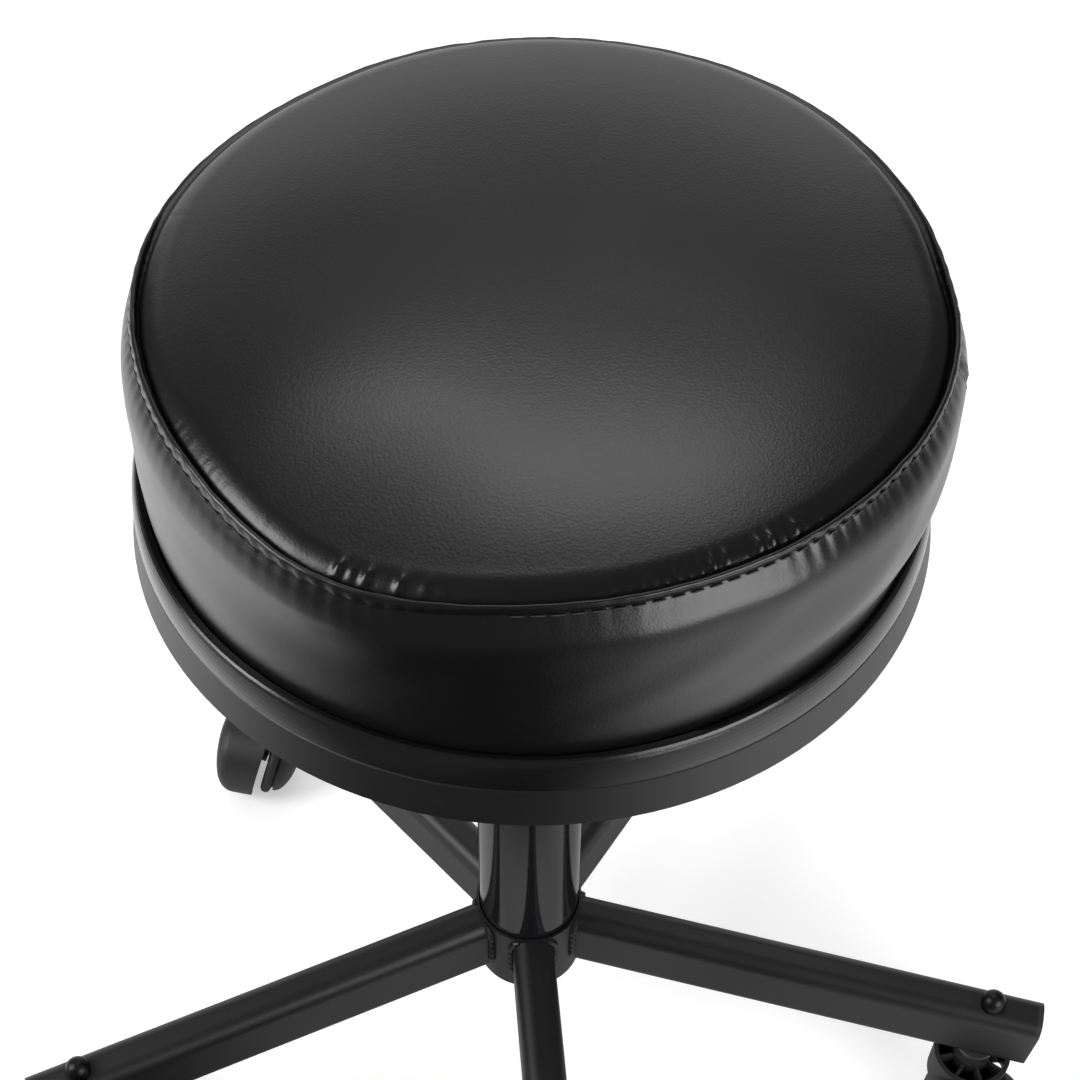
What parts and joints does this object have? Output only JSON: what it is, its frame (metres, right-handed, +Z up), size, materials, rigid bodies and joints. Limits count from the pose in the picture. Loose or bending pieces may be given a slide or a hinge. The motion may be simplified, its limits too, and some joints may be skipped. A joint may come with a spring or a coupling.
{
  "type": "rolling stool",
  "caption": "Height-adjustable rolling stool with a round padded vinyl seat in a metal ring, a gas lift column, a welded tube-leg base and hooded casters.",
  "frame": {"origin": "on the floor, at the column's axis", "axes": "+Z up along the column; -Y along one leg, towards the front"},
  "size_m": [0.5138, 0.513, 0.539],
  "materials": {
    "satin_black": "satin black powder coat",
    "column_black": "high gloss black",
    "black_plastic": "moulded, satin",
    "tread_rubber": "matt",
    "blackened_steel": "blackened",
    "zinc_steel": "zinc plated",
    "ground_steel": "ground and polished",
    "plywood": "raw plywood",
    "foam": "open-cell foam",
    "black_vinyl": "smooth semi-gloss vinyl with a fine grain"
  },
  "bodies": {
    "base": {"hub_collar": "satin_black", "leg_1": "satin_black", "leg_2": "satin_black", "leg_3": "satin_black", "leg_4": "satin_black", "leg_5": "satin_black", "leg_welds": "satin_black", "leg_end_caps": "black_plastic", "column_tube": "column_black", "guide_bush": "black_plastic", "thrust_bearing": "ground_steel", "caster_stem_1": "zinc_steel", "caster_stem_2": "zinc_steel", "caster_stem_3": "zinc_steel", "caster_stem_4": "zinc_steel", "caster_stem_5": "zinc_steel", "stem_washers": "blackened_steel", "stem_nuts": "blackened_steel"},
    "lift_rod": {"piston_rod": "ground_steel", "piston": "ground_steel", "rod_clip": "ground_steel", "rod_buffer": "tread_rubber"},
    "seat": {"gas_cylinder": "ground_steel", "seat_plate": "satin_black", "plate_bolts": "zinc_steel", "plate_nuts": "zinc_steel", "seat_board": "plywood", "seat_ring": "satin_black", "ring_screws": "zinc_steel", "seat_foam": "foam", "seat_side_band": "black_vinyl", "seat_top_panel": "black_vinyl", "seat_welt": "black_vinyl", "lever_pivot": "zinc_steel"},
    "lever": {"release_lever": "zinc_steel", "lever_grip": "black_plastic"},
    "release_pin": {"release_pin": "ground_steel"},
    "caster_1": {"caster_hood_1": "black_plastic", "caster_axle_1": "zinc_steel"},
    "wheel_1": {"wheel_core_1": "black_plastic", "wheel_tread_1": "tread_rubber"},
    "caster_2": {"caster_hood_2": "black_plastic", "caster_axle_2": "zinc_steel"},
    "wheel_2": {"wheel_core_2": "black_plastic", "wheel_tread_2": "tread_rubber"},
    "caster_3": {"caster_hood_3": "black_plastic", "caster_axle_3": "zinc_steel"},
    "wheel_3": {"wheel_core_3": "black_plastic", "wheel_tread_3": "tread_rubber"},
    "caster_4": {"caster_hood_4": "black_plastic", "caster_axle_4": "zinc_steel"},
    "wheel_4": {"wheel_core_4": "black_plastic", "wheel_tread_4": "tread_rubber"},
    "caster_5": {"caster_hood_5": "black_plastic", "caster_axle_5": "zinc_steel"},
    "wheel_5": {"wheel_core_5": "black_plastic", "wheel_tread_5": "tread_rubber"}
  },
  "joints": [
    {"name": "seat_swivel", "type": "hinge", "parent": "base", "child": "lift_rod", "pos_m": [0, 0, 0.09], "axis": [0, 0, 1], "continuous": true},
    {"name": "seat_height", "type": "slide", "parent": "lift_rod", "child": "seat", "axis": [0, 0, 1], "range_m": [0, 0.12]},
    {"name": "lever_lift", "type": "hinge", "parent": "seat", "child": "lever", "pos_m": [0.01549, 0.02914, 0.4136], "axis": [0.8829, -0.4695, 0], "range_deg": [0, 5], "stiffness_Nm_per_rad": 6, "springref_deg": -3.44},
    {"name": "pin_press", "type": "slide", "parent": "seat", "child": "release_pin", "axis": [0, 0, -1], "range_m": [0, 0.003], "stiffness_N_per_m": 600, "springref_m": -0.002},
    {"name": "caster_swivel_1", "type": "hinge", "parent": "base", "child": "caster_1", "pos_m": [0, -0.241, 0.05], "axis": [0, 0, 1], "continuous": true},
    {"name": "wheel_spin_1", "type": "hinge", "parent": "caster_1", "child": "wheel_1", "pos_m": [-0.01336, -0.26114, 0.02425], "axis": [0.5119, -0.8192, -0.2588], "continuous": true},
    {"name": "caster_swivel_2", "type": "hinge", "parent": "base", "child": "caster_2", "pos_m": [0.2292, -0.07447, 0.05], "axis": [0, 0, 1], "continuous": true},
    {"name": "wheel_spin_2", "type": "hinge", "parent": "caster_2", "child": "wheel_2", "pos_m": [0.24072, -0.09572, 0.02425], "axis": [0.9636, 0.0674, -0.2588], "continuous": true},
    {"name": "caster_swivel_3", "type": "hinge", "parent": "base", "child": "caster_3", "pos_m": [0.14166, 0.19497, 0.05], "axis": [0, 0, 1], "continuous": true},
    {"name": "wheel_spin_3", "type": "hinge", "parent": "caster_3", "child": "wheel_3", "pos_m": [0.15536, 0.21488, 0.02425], "axis": [-0.4975, 0.828, -0.2588], "continuous": true},
    {"name": "caster_swivel_4", "type": "hinge", "parent": "base", "child": "caster_4", "pos_m": [-0.14166, 0.19497, 0.05], "axis": [0, 0, 1], "continuous": true},
    {"name": "wheel_spin_4", "type": "hinge", "parent": "caster_4", "child": "wheel_4", "pos_m": [-0.13853, 0.17101, 0.02425], "axis": [0.9237, -0.2824, -0.2588], "continuous": true},
    {"name": "caster_swivel_5", "type": "hinge", "parent": "base", "child": "caster_5", "pos_m": [-0.2292, -0.07447, 0.05], "axis": [0, 0, 1], "continuous": true},
    {"name": "wheel_spin_5", "type": "hinge", "parent": "caster_5", "child": "wheel_5", "pos_m": [-0.23358, -0.05071, 0.02425], "axis": [-0.9372, 0.2337, -0.2588], "continuous": true}
  ],
  "couplings": [
    {"joint": "pin_press", "follows": "lever_lift", "m_per_rad": 0.033}
  ]
}
